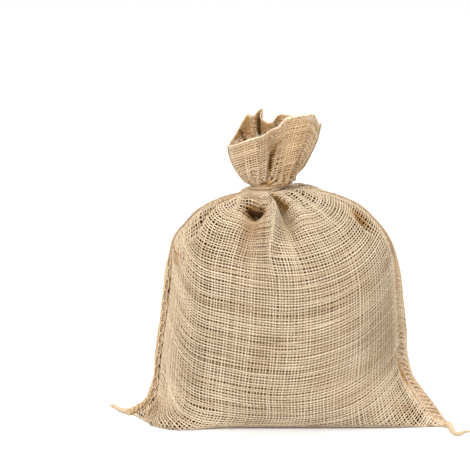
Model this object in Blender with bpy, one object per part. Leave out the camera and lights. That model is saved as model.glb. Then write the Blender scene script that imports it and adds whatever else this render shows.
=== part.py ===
"""A small hessian sack, filled, gathered and tied at the neck, standing on its folded bottom.

The cloth is one length of hessian, folded across the bottom and sewn up both sides, so each side has
a seam allowance that stands out as a narrow flange and runs down into a loose corner ear. Above the
tie the open end flares into a thin-walled mouth. X runs across the sack, -Y is its front and +Z is
up. The origin lies on the floor under the middle of the body.
"""

import math
from collections import namedtuple

import bmesh
import bpy
import numpy as np
from mathutils import Vector

MM = 0.001  # every size and table below is in millimetres

SEAM_THICKNESS = 2.4  # two layers of hessian sewn together
MOUTH_WALL = 1.8  # one layer above the tie, with its loose fibres
CLEARANCE = 0.3  # between one piece and the next

NECK_X = -15.0  # the gather is a little left of the middle
NECK_HALF_WIDTH = 18.8
NECK_HALF_DEPTH = 14.0
NECK_Z = 210.0
NECK_LAND = 5.4  # the straight part that the tie holds
NECK_TILT = 2.2  # how much the tied cloth rises from its middle to its right side
NECK_TILT_REACH = 16.0  # how far above and below the tie this tilt fades away
NECK_TILT_LIMIT = 1.5  # the tilt stops growing at this many half widths from the neck's middle

POINTS_PER_PANEL = 45  # around the front, and again around the back
OUTLINE_POINTS = 181  # close points along a panel, before they are spread evenly
RIM_STEPS = 12  # close points from one row of the rim to the next
RINGS_PER_ROW = 2  # rings from one row of the table to the next
BACK_BOX = 2.2  # how square the back is, as left_box and right_box say for the front
LEFT_EAR_TURN = 14  # degrees that the left ear is turned back where it lies on the floor
RIGHT_EAR_TURN = -16  # the right ear is turned forward there
RIGHT_FLANGE_TURN = 6  # degrees that the right flange is turned back along the side
EAR_HEIGHT = 30.0

# The body, a row for each level. left and right are where the side seams run, front and back are the
# bulge of each panel from the line between the seams. left_y and right_y set a seam forward (-) or
# back (+). left_box and right_box are higher where that side of the outline is squarer, and an edge is
# 0.5 for a round side and 1 for a pointed one. The flanges are the seam allowances' widths.
Level = namedtuple(
    "Level",
    "z left right front back left_y right_y left_box right_box edge back_edge left_flange right_flange",
)
LEVELS = (
    Level(0, -139, 142, 57, 57, -17, -54, 9, 5, 1.00, 1.3, 5.5, 11),
    Level(2, -136.5, 139, 60.5, 60, -16.5, -53, 8, 4.6, 1.00, 1.25, 6.5, 12),
    Level(6, -128.5, 134, 64, 63, -15, -50, 5.6, 4, 0.95, 1.15, 7, 12),
    Level(13, -120, 127, 68, 66, -11, -42, 4, 3.4, 0.88, 1.0, 7, 12),
    Level(23, -116.5, 118.5, 72, 69, -5, -30, 2.9, 2.9, 0.78, 0.86, 6.5, 10.5),
    Level(35, -115, 110, 74.5, 71, 0, -15, 2.4, 2.4, 0.7, 0.72, 5, 8),
    Level(50, -113.5, 105, 75.5, 72.5, 0, -4, 2.2, 2.2, 0.64, 0.64, 5.5, 6.5),
    Level(74, -110.5, 104, 76, 73.5, 0, 0, 2.1, 2.1, 0.6, 0.58, 5.5, 5.5),
    Level(102, -106.5, 102.5, 75.5, 73.5, 0, 0, 2, 2, 0.57, 0.56, 5.5, 5),
    Level(128, -104, 100.5, 72.5, 71.5, 0, 1, 2, 2, 0.55, 0.54, 5.5, 4.5),
    Level(149, -102.5, 97.5, 67, 67, 2, 3, 2, 2, 0.53, 0.53, 3.2, 3.5),
    Level(164, -99.5, 92, 60.5, 61.5, 4, 5, 2, 2, 0.52, 0.52, 1.6, 2),
    Level(177, -89.5, 83, 53, 54.5, 5, 6, 2, 2, 0.5, 0.5, 1.2, 1.2),
    Level(187.5, -80, 73, 45, 47, 5, 6, 2, 2, 0.5, 0.5, 1, 1),
    Level(195, -69.5, 61.5, 37.5, 39.5, 4, 5, 2, 2, 0.5, 0.5, 1, 1),
    Level(200.5, -60, 47, 30.5, 32.5, 3, 4, 2, 2, 0.5, 0.5, 1, 1),
    Level(204.5, -51, 30, 24.5, 26, 2, 3, 2, 2, 0.5, 0.5, 1, 1),
    Level(207.5, -42, 13.5, 18.5, 19.5, 1, 1, 2, 2, 0.5, 0.5, 0.6, 0.6),
    Level(NECK_Z, NECK_X - NECK_HALF_WIDTH, NECK_X + NECK_HALF_WIDTH, NECK_HALF_DEPTH,
          NECK_HALF_DEPTH, 0, 0, 2, 2, 0.5, 0.5, 0.3, 0.3),
)

# The folds that run down from the tie, a row for each. Places on the cloth are given by share, from -1 at
# the left seam to 1 at the right one, and by drop, the distance below the tie. A fold is as wide as its
# two spreads, and stands out (+) or sinks in (-) by height, most at the share peak of its way down. It
# starts a little above its top drop, by the share FOLD_LEAD of its length.
Fold = namedtuple("Fold", "panel top_share top_drop low_share low_drop top_spread low_spread height peak")
FOLDS = (
    Fold("front", -0.04, 0, -0.12, 110, 3, 5.5, 11.5, 0.26),  # the standing pleat
    Fold("front", 0.02, 1, 0.12, 86, 3.2, 9.5, -15, 0.25),  # the valley right of it
    Fold("front", 0.16, 2, 0.26, 88, 5, 14, 4, 0.3),  # the smooth panel's edge
    Fold("front", -0.34, 16, -0.19, 104, 8, 11, -13, 0.3),  # the hollow under the pocket
    Fold("front", -0.82, 2, -0.48, 105, 5, 13, 6, 0.3),  # the broad ridge left of the pocket
    Fold("front", -0.92, 4, -0.74, 74, 4.5, 8, -11, 0.55),  # the valley along the left shoulder
    Fold("front", 0.93, 165, 0.84, 236, 4, 6, -4, 0.5),  # the crease beside the right ear
    Fold("front", -0.93, 175, -0.86, 232, 4, 7, -3, 0.5),  # the crease beside the left ear
    Fold("back", -0.75, 2, -0.6, 90, 4, 12, -7, 0.3),
    Fold("back", -0.45, 0, -0.36, 110, 4.5, 12, 7, 0.25),
    Fold("back", -0.2, 0, -0.18, 85, 4, 9, -9, 0.25),
    Fold("back", 0.05, 0, 0.04, 115, 4, 10, 6, 0.25),
    Fold("back", 0.28, 2, 0.2, 84, 4, 9, -8, 0.28),
    Fold("back", 0.5, 0, 0.45, 100, 5, 13, 3, 0.25),
    Fold("back", 0.8, 4, 0.68, 80, 4, 9, -6, 0.4),
)

# Single dents (-) and swellings (+) of the cloth. slide is how far the cloth has slipped down there.
Dent = namedtuple("Dent", "panel share drop across along height slide")
DENTS = (
    Dent("front", -0.42, 11, 12, 5.5, 8, 8),  # the roll of cloth over the pocket
    Dent("front", -0.33, 25, 9, 6, -17, 0),  # the pocket
    Dent("front", 0.5, 8, 13, 6, 4, 0),  # the shoulder that rises beside the tie
    Dent("front", -0.63, 243, 25, 26, 8.5, 0),  # the corner that bulges over the left ear
    Dent("front", -0.72, 62, 9, 6, 3, 0),
    Dent("front", -0.82, 84, 8, 7, -4, 0),
    Dent("front", 0.82, 47, 6.5, 11, -9, 0),  # the dent in the right shoulder
    Dent("front", 0.9, 66, 6, 8, 3, 0),
    Dent("back", -0.84, 52, 7, 11, -5, 0),
    Dent("back", 0.5, 150, 40, 30, -2, 0),
)
TIE_EASE = 7.0  # folds and dents start this far below the tie
FOLD_LEAD = 0.12
SEAM_HOLD = 12  # the power by which folds die out at a seam, where the cloth is held

# Small gathers all round the neck: how many, how deep, and from which height they start to show.
GATHERS = 15
GATHER_DEPTH = 1.5
GATHER_START_Z = 184.0
GATHER_EVENNESS = 0.7  # 1 for gathers of one depth
GATHER_BEAT = 0.37  # how often the depth comes and goes, for each gather
GATHER_DRIFT = 0.6  # radians that the gathers drift from an even spacing
GATHER_DRIFT_BEAT = 0.21
TIED_DEPTH = 0.25  # what is left of them under the tie
TIED_BELOW = 6.0  # from the neck's foot down, where the tie starts to flatten them
TIED_OVER = 5.0  # and how soon it has

# The open end's edge, from the left seam round the front to the right seam and back round. It is one
# curve, and each point is where the edge turns or dips.
Rim = namedtuple("Rim", "x y z")
RIM_FRONT = (
    Rim(-52, -2, 250.5),
    Rim(-43, -17, 256.5),
    Rim(-33, -22, 261),
    Rim(-20, -16, 263.5),
    Rim(-12, -6, 266.5),
    Rim(-7, -5, 269),
    Rim(-1, -12, 277.5),
    Rim(8, -19, 281.5),
    Rim(20, -18, 283),
    Rim(26.5, -12, 282),
    Rim(29.5, -5, 275),
    Rim(32, 2, 269),
)
RIM_BACK = (
    Rim(32, 2, 269),
    Rim(24, 16, 268),
    Rim(14, 21, 272),
    Rim(7.5, 20, 272.5),
    Rim(-2, 24, 273.5),
    Rim(-8, 21, 272.5),
    Rim(-12.5, 12, 268),
    Rim(-17, 15, 268),
    Rim(-21.5, 21, 271),
    Rim(-20.5, 29, 277.5),
    Rim(-26.5, 24, 275.5),
    Rim(-29, 12, 274),
    Rim(-34, 17, 274.5),
    Rim(-38.5, 14, 270),
    Rim(-44.5, 7, 261),
    Rim(-52, -2, 250.5),
)
MOUTH_RINGS = 13
LINING_RINGS = 9
MOUTH_FLOOR = 0.22  # how far up the mouth its hollow starts

# How far the mouth has flared out to its rim at each share of its height, on its two sides.
Flare = namedtuple("Flare", "height left right")
FLARES = (
    Flare(0, 0, 0),
    Flare(0.1, 0.2, 0.22),
    Flare(0.25, 0.43, 0.47),
    Flare(0.5, 0.75, 0.7),
    Flare(0.75, 0.94, 0.9),
    Flare(1, 1, 1),
)
FLARE_STEPS = 8  # close points from one row of the flare to the next

# The folds of the mouth's wall. They fade at the tie and at the edge, and reach most at the share peak
# of the mouth's height.
Pleat = namedtuple("Pleat", "panel share spread height peak")
PLEATS = (
    Pleat("front", -0.09, 4.5, -7, 0.42),  # the deep valley between the two lobes
    Pleat("front", 0.3, 7, 2.5, 0.45),
    Pleat("front", -0.55, 7, 1.5, 0.4),
    Pleat("front", 0.68, 6, -2.5, 0.5),
    Pleat("back", -0.4, 5, -3, 0.4),
    Pleat("back", 0.25, 5, -3.5, 0.4),
)

TWINE_REACH = 1.7  # from the middle of the doubled twine to the outside of either strand
TWINE_WAIST = 0.55  # the share of that reach between the two strands
TWINE_SIDES = 12
TIE_STEPS = 64

# The loose ends of the seams' sewing thread, lying on the floor from the tips of the ears.
Tail = namedtuple("Tail", "name points root_reach tip_reach")
TAILS = (
    Tail(
        "thread_end_left",
        ((-145.1, -15), (-149.5, -11), (-153.5, -5), (-156.5, 1), (-160.5, 5.6)),
        1.8,
        1.0,
    ),
    Tail(
        "thread_end_right",
        ((149.3, -58.0), (150.2, -68), (152, -76), (155, -80), (158.5, -76), (162.5, -70), (168.4, -70.3)),
        1.9,
        0.9,
    ),
)
TAIL_STEPS = 7  # rings from one point of a tail to the next
TAIL_TURNS = 2.5


def smooth_step(value):
    """0 below 0, 1 above 1 and an even ease between them, for a number or an array."""
    clipped = np.clip(value, 0, 1)
    return clipped * clipped * (3 - 2 * clipped)


def through(points, per_span):
    """A smooth curve through the points, as rows, with per_span steps from one point to the next."""
    rows = np.array(points, float)
    padded = np.vstack([2 * rows[0] - rows[1], rows, 2 * rows[-1] - rows[-2]])
    steps = np.linspace(0, 1, per_span, endpoint=False)[:, None]
    spans = []
    for before, start, end, after in zip(padded, padded[1:], padded[2:], padded[3:]):
        spans.append(
            start
            + 0.5 * steps * (end - before)
            + 0.5 * steps**2 * (2 * before - 5 * start + 4 * end - after)
            + 0.5 * steps**3 * (3 * start - before - 3 * end + after)
        )
    return np.vstack(spans + [rows[-1:]])


def evenly(curve, count):
    """count points spread evenly along a curve that is given as close points."""
    lengths = np.linalg.norm(np.diff(curve, axis=0), axis=1)
    along = np.concatenate([[0], np.cumsum(lengths)])
    wanted = np.linspace(0, along[-1], count)
    return np.stack([np.interp(wanted, along, column) for column in curve.T], axis=1)


def panel_outline(level, side):
    """One panel at one level, from the left seam to the right one; side is -1 in front and 1 behind."""
    across = np.sin(np.linspace(-0.5, 0.5, OUTLINE_POINTS) * math.pi)
    if side < 0:
        bulge = level.front
        box = np.where(across < 0, level.left_box, level.right_box)
        swell = (1 - np.abs(across) ** box) ** level.edge
    else:
        bulge = level.back
        swell = (1 - np.abs(across) ** BACK_BOX) ** level.back_edge
    seam_y = np.where(across < 0, level.left_y, level.right_y) * (1 - swell)
    x = level.left + (level.right - level.left) * (across + 1) / 2
    y = seam_y + side * (SEAM_THICKNESS / 2 + (bulge - SEAM_THICKNESS / 2) * swell)
    return evenly(np.stack([x, y, np.full_like(x, level.z)], axis=1), POINTS_PER_PANEL)


def flange_tip(seam_point, direction, width):
    """The outer edge of a seam allowance that leaves its seam in a direction, as front and back points."""
    heading = np.array([math.cos(direction), math.sin(direction), 0.0])
    across = np.array([0.0, SEAM_THICKNESS / 2, 0.0])
    tip = seam_point + heading * width
    return tip - across, tip + across


def flange_heading(level, left):
    """Where a seam allowance points: out to its side, turned as its ear is where it lies on the floor."""
    low = 1 - smooth_step(level.z / EAR_HEIGHT)
    if left:
        return math.pi - math.radians(LEFT_EAR_TURN) * low
    return math.radians(RIGHT_EAR_TURN) * low + math.radians(RIGHT_FLANGE_TURN) * (1 - low)


def body_ring(level):
    """One closed ring from above, anticlockwise: front panel, right flange, back panel, left flange."""
    front = panel_outline(level, -1)
    back = panel_outline(level, 1)[::-1]
    right_seam = (front[-1] + back[0]) / 2
    left_seam = (front[0] + back[-1]) / 2
    right_tip = flange_tip(right_seam, flange_heading(level, False), level.right_flange)
    left_tip = flange_tip(left_seam, flange_heading(level, True), level.left_flange)
    return np.vstack([front, *right_tip, back, *reversed(left_tip)])


def surface_normals(grid):
    """The outward direction at each point of a grid of rings."""
    around = np.roll(grid, -1, axis=1) - np.roll(grid, 1, axis=1)
    upward = np.gradient(grid, axis=0)
    normals = np.cross(around, upward)
    return normals / np.maximum(np.linalg.norm(normals, axis=2, keepdims=True), 1e-9)


def cloth_share():
    """Where each point of a ring lies across its panel, -1 at the left seam and 1 at the right one."""
    across = np.linspace(-1, 1, POINTS_PER_PANEL)
    return np.concatenate([across, [1, 1], across[::-1], [-1, -1]])


def on_panel(name):
    """True for the points of a ring that belong to the named panel."""
    is_front = np.arange(len(cloth_share())) < POINTS_PER_PANEL
    return is_front == (name == "front")


def drops(grid):
    """How far below the tie each ring lies, measured down the front of the cloth."""
    middle = grid[:, POINTS_PER_PANEL // 2]
    steps = np.linalg.norm(np.diff(middle, axis=0), axis=1)
    return np.concatenate([np.cumsum(steps[::-1])[::-1], [0]])


def half_widths(grid):
    """Half the width of the front cloth at each ring, from seam to seam."""
    front = grid[:, :POINTS_PER_PANEL]
    return np.linalg.norm(np.diff(front, axis=1), axis=2).sum(axis=1) / 2


def dent_reach(dent, grid):
    """How strongly a dent acts on each point of the body, from 0 to 1."""
    across = (cloth_share() - dent.share) * half_widths(grid)[:, None] / dent.across
    along = (drops(grid)[:, None] - dent.drop) / dent.along
    return np.where(on_panel(dent.panel), np.exp(-(across**2) - along**2), 0)


def downward(grid):
    """The direction down the cloth at each point of a grid of rings."""
    down = -np.gradient(grid, axis=0)
    return down / np.maximum(np.linalg.norm(down, axis=2, keepdims=True), 1e-9)


def fold_offset(grid):
    """How far each point of the body moves out or in for the folds, the dents and the gathers."""
    z = grid[..., 2]
    share = cloth_share()
    drop = drops(grid)[:, None]
    half_width = half_widths(grid)[:, None]
    offset = np.zeros_like(z)
    for fold in FOLDS:
        down = (drop - fold.top_drop) / (fold.low_drop - fold.top_drop)
        path = fold.top_share + (fold.low_share - fold.top_share) * np.clip(down, 0, 1)
        spread = fold.top_spread + (fold.low_spread - fold.top_spread) * np.clip(down, 0, 1)
        rise = smooth_step((down + FOLD_LEAD) / (fold.peak + FOLD_LEAD))
        fade = 1 - smooth_step((down - fold.peak) / (1 - fold.peak))
        height = fold.height * rise * fade * np.exp(-(((share - path) * half_width / spread) ** 2))
        offset += np.where(on_panel(fold.panel), height, 0)
    for dent in DENTS:
        offset += dent.height * dent_reach(dent, grid)
    offset *= smooth_step(drop / TIE_EASE)
    gather = smooth_step((z - GATHER_START_Z) / (NECK_Z - GATHER_START_Z))
    tied = 1 - (1 - TIED_DEPTH / GATHER_DEPTH) * smooth_step((z - NECK_Z + TIED_BELOW) / TIED_OVER)
    turns = np.arange(grid.shape[1]) / grid.shape[1] * 2 * math.pi * GATHERS
    uneven = GATHER_EVENNESS + (1 - GATHER_EVENNESS) * np.sin(turns * GATHER_BEAT + 1)
    wave = np.sin(turns + GATHER_DRIFT * np.sin(turns * GATHER_DRIFT_BEAT))
    offset += GATHER_DEPTH * gather * tied * uneven * wave
    return offset * (1 - np.abs(share) ** SEAM_HOLD)


def body_grid():
    """The body's rings from the floor to the tie, with the folds worked in."""
    rows = through(LEVELS, RINGS_PER_ROW)
    grid = np.stack([body_ring(Level(*row)) for row in rows])
    slide = sum(dent.slide * dent_reach(dent, grid) for dent in DENTS)
    moved = grid + surface_normals(grid) * fold_offset(grid)[..., None] + downward(grid) * slide[..., None]
    moved[..., 2] = np.clip(moved[..., 2], 0, NECK_Z)
    moved[0, :, 2] = 0
    moved[-1, :, 2] = NECK_Z
    return moved


def rim_ring():
    """The mouth's edge as a ring with the same points as the body's rings."""
    half = np.array([0, SEAM_THICKNESS / 2, 0])
    front = evenly(through(RIM_FRONT, RIM_STEPS), POINTS_PER_PANEL) - half
    back = evenly(through(RIM_BACK, RIM_STEPS), POINTS_PER_PANEL) + half
    flange = LEVELS[-1].left_flange
    right_tip = flange_tip((front[-1] + back[0]) / 2, 0, flange)
    left_tip = flange_tip((front[0] + back[-1]) / 2, math.pi, flange)
    return np.vstack([front, *right_tip, back, *reversed(left_tip)])


def mouth_grid(neck):
    """The mouth's rings from the top of the straight neck to its edge."""
    foot = neck + np.array([0, 0, NECK_LAND])
    rim = rim_ring()
    heights = np.linspace(0, 1, MOUTH_RINGS + 1)[:, None]
    flares = through(FLARES, FLARE_STEPS)
    left = np.interp(heights, flares[:, 0], flares[:, 1])
    right = np.interp(heights, flares[:, 0], flares[:, 2])
    spread = left + (right - left) * (cloth_share() + 1) / 2
    share = np.stack([spread, spread, np.broadcast_to(heights, spread.shape)], axis=2)
    grid = foot + (rim - foot) * share
    half_width = half_widths(grid)[:, None]
    offset = np.zeros(grid.shape[:2])
    for pleat in PLEATS:
        rise = smooth_step(heights / pleat.peak)
        fade = 1 - smooth_step((heights - pleat.peak) / (1 - pleat.peak))
        away = (cloth_share() - pleat.share) * half_width / pleat.spread
        offset += np.where(on_panel(pleat.panel), pleat.height * rise * fade * np.exp(-(away**2)), 0)
    return grid + surface_normals(grid) * offset[..., None]


def lining_grid(mouth):
    """The mouth's inner face, from its edge down to the floor of its hollow."""
    outward = surface_normals(mouth)
    outward = (outward + np.roll(outward, 1, axis=1) + np.roll(outward, -1, axis=1)) / 3
    inner = mouth - outward * MOUTH_WALL
    rows = []
    for height in np.linspace(1, MOUTH_FLOOR, LINING_RINGS + 1) * MOUTH_RINGS:
        low = min(int(height), MOUTH_RINGS - 1)
        rows.append(inner[low] + (inner[low + 1] - inner[low]) * (height - low))
    return np.stack(rows)


def tilted(points):
    """The points with the neck's tilt, which lifts its right side and lowers its left."""
    limit = NECK_TILT_LIMIT
    across = np.clip((points[..., 0] - NECK_X) / NECK_HALF_WIDTH, -limit, limit)
    near = np.exp(-(((points[..., 2] - NECK_Z - NECK_LAND / 2) / NECK_TILT_REACH) ** 2))
    lifted = points.copy()
    lifted[..., 2] += NECK_TILT * across * near
    return lifted


def grid_mesh(name, grid, loop=False):
    """A mesh of rings joined by faces. Its ends are filled, or joined to each other where it is a loop."""
    rings, count = grid.shape[:2]
    mesh = bpy.data.meshes.new(name)
    shape = bmesh.new()
    verts = [shape.verts.new(Vector(point) * MM) for point in grid.reshape(-1, 3)]
    for row in range(rings if loop else rings - 1):
        above = (row + 1) % rings
        for column in range(count):
            following = (column + 1) % count
            corners = (
                row * count + column,
                row * count + following,
                above * count + following,
                above * count + column,
            )
            shape.faces.new([verts[index] for index in corners])
    if not loop:
        shape.faces.new(verts[count - 1 :: -1])
        shape.faces.new(verts[-count:])
    bmesh.ops.triangulate(shape, faces=[face for face in shape.faces if len(face.verts) > 4])
    shape.to_mesh(mesh)
    shape.free()
    mesh.polygons.foreach_set("use_smooth", [True] * len(mesh.polygons))
    return mesh


def material(name, colour, roughness):
    """A plain cloth or twine material."""
    made = bpy.data.materials.new(name)
    made.use_nodes = True
    surface = made.node_tree.nodes["Principled BSDF"]
    surface.inputs["Base Color"].default_value = (*colour, 1)
    surface.inputs["Roughness"].default_value = roughness
    surface.inputs["Metallic"].default_value = 0
    return made


def add(name, mesh, finish):
    """Puts a mesh in the scene as a named object with its material."""
    mesh.materials.append(finish)
    made = bpy.data.objects.new(name, mesh)
    bpy.context.scene.collection.objects.link(made)
    return made


def sack(finish):
    """The cloth, one solid from the floor to the mouth's edge, with the hollow above the tie."""
    body = body_grid()
    mouth = mouth_grid(body[-1])
    return add("sack", grid_mesh("sack", tilted(np.vstack([body, mouth, lining_grid(mouth)]))), finish)


def doubled_twine(path, sides, ups, reaches):
    """Rings of two strands side by side along a path. ups point from one strand to the other."""
    turns = np.linspace(0, 2 * math.pi, TWINE_SIDES, endpoint=False)
    outline = TWINE_WAIST + (1 - TWINE_WAIST) * np.cos(turns) ** 2
    up_part = (outline * np.cos(turns))[None, :, None] * ups[:, None, :]
    side_part = (outline * np.sin(turns))[None, :, None] * sides[:, None, :]
    return path[:, None, :] + (up_part + side_part) * reaches[:, None, None]


def neck_tie(finish):
    """The twine round the neck: a closed loop of two strands, with no free ends."""
    around = np.linspace(0, 2 * math.pi, TIE_STEPS, endpoint=False)
    stand_off = TIED_DEPTH + LEVELS[-1].left_flange + CLEARANCE + TWINE_REACH * TWINE_WAIST
    heading = np.stack([np.cos(around), np.sin(around), np.zeros_like(around)], axis=1)
    radii = np.array([NECK_HALF_WIDTH + stand_off, NECK_HALF_DEPTH + stand_off, 0])
    path = heading * radii + np.array([NECK_X, 0, NECK_Z + NECK_LAND / 2])
    ups = np.tile([0.0, 0.0, 1.0], (TIE_STEPS, 1))
    rings = doubled_twine(path, heading, ups, np.full(TIE_STEPS, TWINE_REACH))
    return add("neck_tie", grid_mesh("neck_tie", tilted(rings), loop=True), finish)


def thread_end(tail, finish):
    """One loose end of sewing thread, two strands twisted together."""
    flat = through(tail.points, TAIL_STEPS)
    reaches = np.linspace(tail.root_reach, tail.tip_reach, len(flat))
    path = np.column_stack([flat, reaches])
    along = np.gradient(path, axis=0)
    along /= np.linalg.norm(along, axis=1, keepdims=True)
    level_side = np.cross(along, [0.0, 0.0, 1.0])
    level_side /= np.linalg.norm(level_side, axis=1, keepdims=True)
    level_up = np.cross(level_side, along)
    turn = np.linspace(0, 2 * math.pi * TAIL_TURNS, len(flat))[:, None]
    ups = level_up * np.cos(turn) + level_side * np.sin(turn)
    sides = np.cross(along, ups)
    rings = doubled_twine(path, sides, ups, reaches)
    return add(tail.name, grid_mesh(tail.name, rings), finish)


def main():
    for old in list(bpy.data.objects):
        bpy.data.objects.remove(old)
    hessian = material("hessian", (0.56, 0.41, 0.25), 0.95)
    twine = material("jute twine", (0.50, 0.37, 0.24), 0.9)
    thread = material("jute sewing thread", (0.60, 0.46, 0.29), 0.9)
    sack(hessian)
    neck_tie(twine)
    for tail in TAILS:
        thread_end(tail, thread)


main()
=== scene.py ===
import math
from collections import namedtuple

import bpy
import numpy as np
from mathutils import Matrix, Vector


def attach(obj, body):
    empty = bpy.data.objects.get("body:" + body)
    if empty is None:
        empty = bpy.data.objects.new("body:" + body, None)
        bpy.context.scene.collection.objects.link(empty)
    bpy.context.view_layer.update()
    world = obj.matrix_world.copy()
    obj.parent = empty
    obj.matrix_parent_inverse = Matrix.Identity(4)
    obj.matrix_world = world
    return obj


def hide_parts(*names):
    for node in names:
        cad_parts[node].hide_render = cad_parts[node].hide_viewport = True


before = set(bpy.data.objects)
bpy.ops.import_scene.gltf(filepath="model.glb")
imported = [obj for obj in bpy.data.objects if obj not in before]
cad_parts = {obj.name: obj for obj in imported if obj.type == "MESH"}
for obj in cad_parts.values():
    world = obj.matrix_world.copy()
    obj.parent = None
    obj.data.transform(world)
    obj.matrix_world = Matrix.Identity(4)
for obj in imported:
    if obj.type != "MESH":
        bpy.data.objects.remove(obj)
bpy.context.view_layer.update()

mm = 0.001  # the sizes below are millimetres
dice = np.random.default_rng(41)

panels = ("front", "back")


# One table's rows for both panels, each row with its panel's name in front.
def rowsOf(kind, table):
    return [kind(side, *row) for side, rows in table.items() for row in rows]


def smoothStep(value):
    clipped = np.clip(value, 0, 1)
    return clipped * clipped * (3 - 2 * clipped)


def partWay(start, end, part):
    return start + (end - start) * part


# Rises from nothing at -lead to 1 at its peak, and is gone again at 1.
def hump(value, lead, peak):
    return smoothStep((value + lead) / (peak + lead)) * (1 - smoothStep((value - peak) / (1 - peak)))


def through(points, perSpan):
    rows = np.array(points, float)
    padded = np.vstack([2 * rows[0] - rows[1], rows, 2 * rows[-1] - rows[-2]])
    steps = np.linspace(0, 1, perSpan, endpoint=False)[:, None]
    spans = []
    for before, start, end, after in zip(padded, padded[1:], padded[2:], padded[3:]):
        spans.append(
            start
            + 0.5 * steps * (end - before)
            + 0.5 * steps**2 * (2 * before - 5 * start + 4 * end - after)
            + 0.5 * steps**3 * (3 * start - before - 3 * end + after)
        )
    return np.vstack(spans + [rows[-1:]])


def stepsOf(grid, axis=0):
    return np.linalg.norm(np.diff(grid, axis=axis), axis=-1)


def lengthsAlong(path):
    return np.concatenate([[0], np.cumsum(stepsOf(path))])


def evenly(curve, count):
    along = lengthsAlong(curve)
    wanted = np.linspace(0, along[-1], count)
    return np.stack([np.interp(wanted, along, column) for column in curve.T], axis=1)


def unit(vectors):
    return vectors / np.maximum(np.linalg.norm(vectors, axis=-1, keepdims=True), 1e-9)


# Hessian: one length of cloth, folded across the bottom, sewn up both sides and tied at the neck.
hessian = {
    "halfWidth": 146.0,  # of one panel, seam to seam
    "cut": (0.303, 0.3),  # one panel from the bottom fold to the tie, seam allowances included, in metres
    "unevenness": 0.065,  # of the spaces between yarns, as a share of them
    "rightSlimness": 0.15,  # how much finer the yarns are near the right seam
    "slimFrom": 0.4,
    "slimFade": 0.3,
    "evenness": 0.86,  # how close the warps lie in the panel's middle, against the average
    "evenSpare": 0.06,  # share of spare cloth that is eased in without a tuck
    "tieCrowd": 8.0,  # the height below the tie in which the last weft yarns crowd together
    "tuckReach": 100.0,  # how far below the tie the tucks run
    "tuckFade": 40.0,
    "yarnDepth": 0.7,
    "waveHeight": 0.34,  # how far a yarn rises and dips over its neighbours
    "slantReach": 22,  # grid columns over which the weft yarns spread their slant
    "cornerReach": 8.0,  # the height up to which the weft rows follow the corners' bulges
    "hollowFullness": 0.45,  # how much the yarns swell where the cloth is bunched in a hollow
    "seamFullness": 0.75,  # how much fuller the folded cloth is in the seams
    "seamFrom": 0.965,
    "spareGap": 1.08,  # yarns further apart than this, in pitches, flatten to fill the space
    "tightest": 0.3,  # share of its width that a yarn keeps where the cloth is bunched
    "thinnest": 0.65,
    "sideShade": 0.09,  # painted shade: how much warmer and darker a yarn's sides and underside are than its top
    "toneWaver": 0.06,  # along a yarn
    "warpSink": 0.12,  # how much deeper the warp lies than the weft
    "inset": 0.95,  # from the outside of the cloth to its middle
    "seamThickness": 2.4,
    "liftOff": 0.05,  # nothing dips into the floor
    "flangeYarns": 5,  # warp yarns in the seam allowance
    "lightest": (0.925, 0.865, 0.775),
    "middle": (0.825, 0.745, 0.635),
    "darkest": (0.60, 0.475, 0.335),
    "hollow": (0.82, 0.70, 0.51),  # painted shade: the warmer colour deep in a fold
    "crease": (0.27, 0.18, 0.10),  # painted shade: the dark in a crease
    "foldShade": 0.13,  # how far a deep fold's painted shade goes towards the dark
    "deepFold": 9.0,
}

# The two kinds of yarn. variety is from yarn to yarn, waver is along one, stray is off its line in millimetres.
weft = {
    "pitch": 2.57, "width": 1.36, "fattest": 1.6, "variety": 0.09, "waver": 0.14, "slubs": 0.18, "stray": 0.24,
    "tone": 0.52, "toneVariety": 0.07,
}
# The warp's tone lies below the weft's, partly as painted shade for the warps that lie under the weft.
warp = {
    "pitch": 2.98, "width": 1.2, "fattest": 1.5, "variety": 0.05, "waver": 0.08, "stray": 0.16,
    "tone": 0.45, "toneVariety": 0.045,
}

neck = {
    "pinch": 0.2,  # how much the tie draws the cloth in, as a share of the neck's size
    "pinchReach": 4.0,
    "rightPinch": 0.45,  # share of the pinch that is left where the right lobe hangs over the tie
    "x": -15.0,
    "halfWidth": 18.8,
    "halfDepth": 14.0,
    "z": 210.0,
    "land": 5.4,
    "tilt": 2.2,
    "tiltReach": 16.0,
}

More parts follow.
